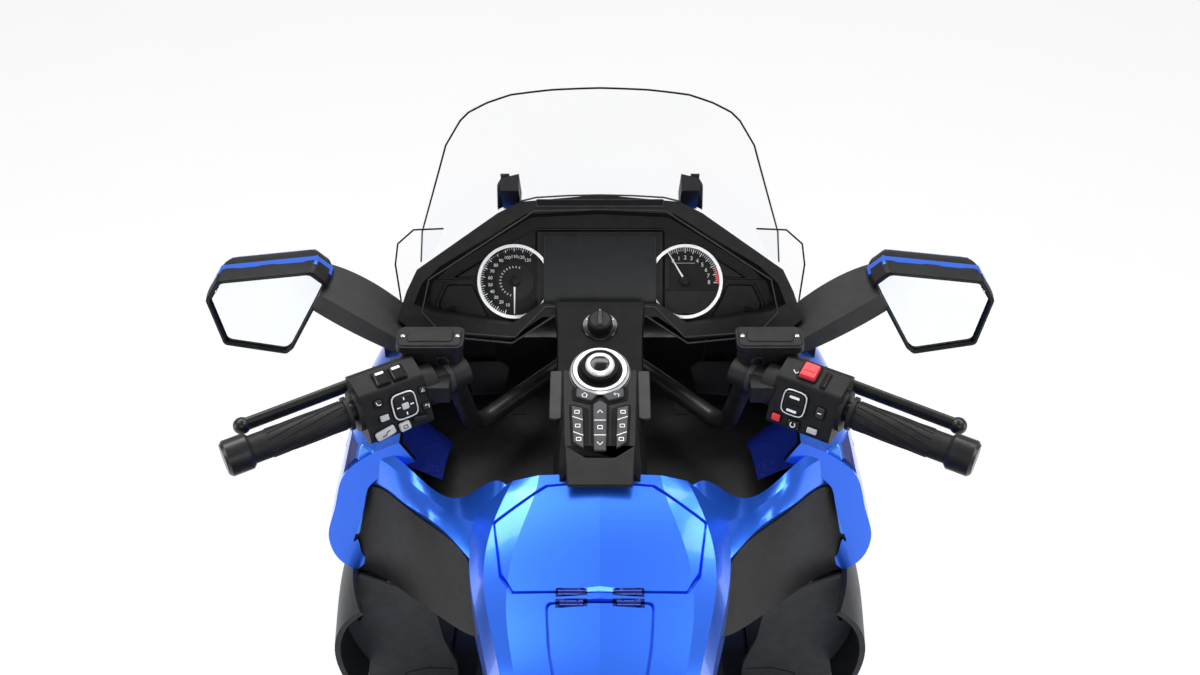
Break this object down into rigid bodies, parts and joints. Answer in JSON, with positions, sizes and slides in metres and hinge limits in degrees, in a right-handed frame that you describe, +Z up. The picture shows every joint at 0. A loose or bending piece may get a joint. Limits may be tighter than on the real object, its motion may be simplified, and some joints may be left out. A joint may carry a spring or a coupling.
{
  "type": "touring motorcycle",
  "caption": "Heavy touring motorcycle on its centre stand: dash, tall screen, faired nose, flat engine, seat, saddlebags and trunk, with turning wheels, steering, lids and stands.",
  "frame": {"origin": "on the floor, at the middle of the machine's length and width", "axes": "+Y forwards, +X to the rider's right, +Z up"},
  "size_m": [1.146, 2.575, 1.402],
  "materials": {
    "body_paint": "gloss blue paint with clear coat",
    "matt_black": "moulded black plastic, fine grain",
    "dark_grey_plastic": "moulded dark grey plastic",
    "black_metal": "satin black enamel",
    "steel": "bright zinc-plated steel",
    "cast_alloy": "cast aluminium, satin",
    "chrome": "bright plated",
    "tyre_rubber": "tyre rubber",
    "grip_rubber": "moulded rubber",
    "clear_screen": "clear polycarbonate",
    "lamp_lens": "clear lamp lens",
    "red_lens": "red lamp lens",
    "mirror_glass": "silvered glass",
    "seat_leather": "grained black vinyl",
    "plate_white": "white enamel, blank"
  },
  "bodies": {
    "machine": {"tank_cover": "body_paint", "side_fairings": "body_paint", "nose_fairing": "body_paint", "saddlebag_left": "body_paint", "saddlebag_right": "body_paint", "trunk_box": "body_paint", "side_covers": "body_paint", "dash_hood": "matt_black", "instrument_panel": "matt_black", "cockpit_floor": "matt_black", "inner_fairings": "matt_black", "mirror_housings": "matt_black", "rear_fender": "matt_black", "windscreen_sleeves": "matt_black", "lower_cowls": "dark_grey_plastic", "console": "dark_grey_plastic", "frame": "black_metal", "swingarm": "black_metal", "rear_caliper": "black_metal", "footrests": "black_metal", "side_stand_bracket": "black_metal", "stand_pins": "steel", "engine_block": "cast_alloy", "cylinder_heads": "cast_alloy", "exhausts": "chrome", "gauge_rings": "chrome", "wind_deflectors": "clear_screen", "headlamps": "lamp_lens", "tail_lamps": "red_lens", "mirror_glasses": "mirror_glass", "seat": "seat_leather", "backrest": "seat_leather", "number_plate": "plate_white"},
    "steering": {"fork": "cast_alloy", "handlebar": "black_metal", "grips": "grip_rubber", "switch_housings": "matt_black", "hand_levers": "black_metal", "reservoirs": "matt_black", "front_calipers": "black_metal", "front_fender": "body_paint"},
    "front_wheel": {"front_rim": "cast_alloy", "front_tyre": "tyre_rubber"},
    "rear_wheel": {"rear_rim": "cast_alloy", "rear_tyre": "tyre_rubber"},
    "windscreen": {"windscreen": "clear_screen", "windscreen_slides": "matt_black"},
    "centre_stand": {"centre_stand": "black_metal"},
    "side_stand": {"side_stand": "black_metal"},
    "trunk_lid": {"trunk_lid": "body_paint"},
    "saddlebag_lid_left": {"saddlebag_lid_left": "body_paint"},
    "saddlebag_lid_right": {"saddlebag_lid_right": "body_paint"},
    "glovebox_lid": {"glovebox_lid": "body_paint"},
    "fuel_lid": {"fuel_lid": "body_paint"}
  },
  "joints": [
    {"name": "front_wheel_spin", "type": "hinge", "parent": "steering", "child": "front_wheel", "pos_m": [0, 0.9675, 0.32], "axis": [1, 0, 0], "continuous": true},
    {"name": "rear_wheel_spin", "type": "hinge", "parent": "machine", "child": "rear_wheel", "pos_m": [0, -0.7275, 0.338], "axis": [1, 0, 0], "continuous": true},
    {"name": "steering", "type": "hinge", "parent": "machine", "child": "steering", "pos_m": [0, 0.64509, 0.73239], "axis": [0, -0.5075, 0.8616], "range_deg": [-30, 30]},
    {"name": "windscreen_slide", "type": "slide", "parent": "machine", "child": "windscreen", "axis": [0, -0.5878, 0.809], "range_m": [0, 0.1]},
    {"name": "centre_stand_hinge", "type": "hinge", "parent": "machine", "child": "centre_stand", "pos_m": [0, -0.24, 0.232], "axis": [-1, 0, 0], "range_deg": [0, 66]},
    {"name": "side_stand_hinge", "type": "hinge", "parent": "machine", "child": "side_stand", "pos_m": [-0.214, -0.06, 0.196], "axis": [0.9166, 0, -0.3998], "range_deg": [0, 90]},
    {"name": "trunk_lid_hinge", "type": "hinge", "parent": "machine", "child": "trunk_lid", "pos_m": [0, -0.869, 1.092], "axis": [-1, 0, 0], "range_deg": [0, 55]},
    {"name": "saddlebag_lid_left_hinge", "type": "hinge", "parent": "machine", "child": "saddlebag_lid_left", "pos_m": [-0.431, -0.78, 0.52], "axis": [0, -1, 0], "range_deg": [0, 50]},
    {"name": "saddlebag_lid_right_hinge", "type": "hinge", "parent": "machine", "child": "saddlebag_lid_right", "pos_m": [0.431, -0.78, 0.52], "axis": [0, 1, 0], "range_deg": [0, 50]},
    {"name": "glovebox_lid_hinge", "type": "hinge", "parent": "machine", "child": "glovebox_lid", "pos_m": [0, 0.026, 0.941], "axis": [1, 0, 0], "range_deg": [0, 70]},
    {"name": "fuel_lid_hinge", "type": "hinge", "parent": "machine", "child": "fuel_lid", "pos_m": [0, 0.012, 0.9385], "axis": [-1, 0, 0], "range_deg": [0, 70]}
  ]
}
